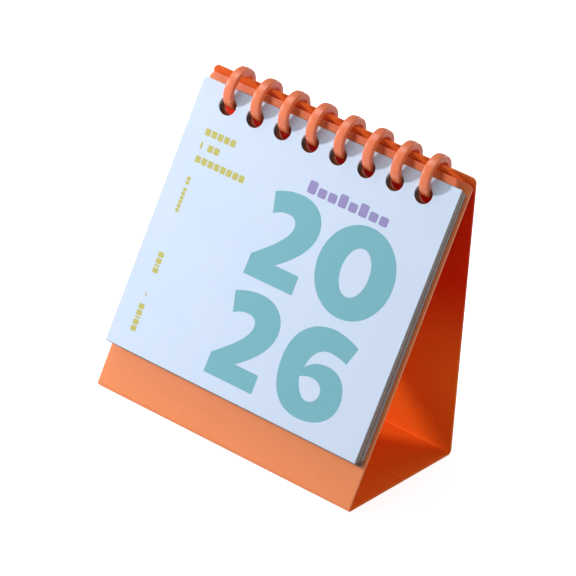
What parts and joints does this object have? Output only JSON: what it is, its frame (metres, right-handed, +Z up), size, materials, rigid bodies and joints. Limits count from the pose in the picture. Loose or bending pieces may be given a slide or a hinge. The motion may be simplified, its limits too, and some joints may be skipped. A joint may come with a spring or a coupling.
{
  "type": "desk calendar",
  "caption": "Desk calendar: a folded plastic A-shaped stand with a pack of loose sheets hung on a row of plastic rings along its top edge.",
  "frame": {"origin": "centre of the stand's base, on the surface that it stands on", "axes": "+X across the width to the reader's right, +Y away from the reader, +Z up"},
  "size_m": [0.112, 0.0732, 0.1256],
  "materials": {
    "stand": "orange sheet with a fine leather-like grain",
    "ring": "smooth moulded orange",
    "cover": "smooth pale blue card with printed numerals",
    "pack": "white sheets with grey-brown cut edges"
  },
  "bodies": {
    "stand": {"stand": "stand", "page_pack": "pack", "ring_1": "ring", "ring_2": "ring", "ring_3": "ring", "ring_4": "ring", "ring_5": "ring", "ring_6": "ring", "ring_7": "ring", "ring_8": "ring"},
    "cover": {"cover_sheet": "cover"}
  },
  "joints": [
    {"name": "cover_turn", "type": "hinge", "parent": "stand", "child": "cover", "pos_m": [0, -0.00319, 0.11752], "axis": [-1, 0, 0], "range_deg": [0, 100]}
  ]
}
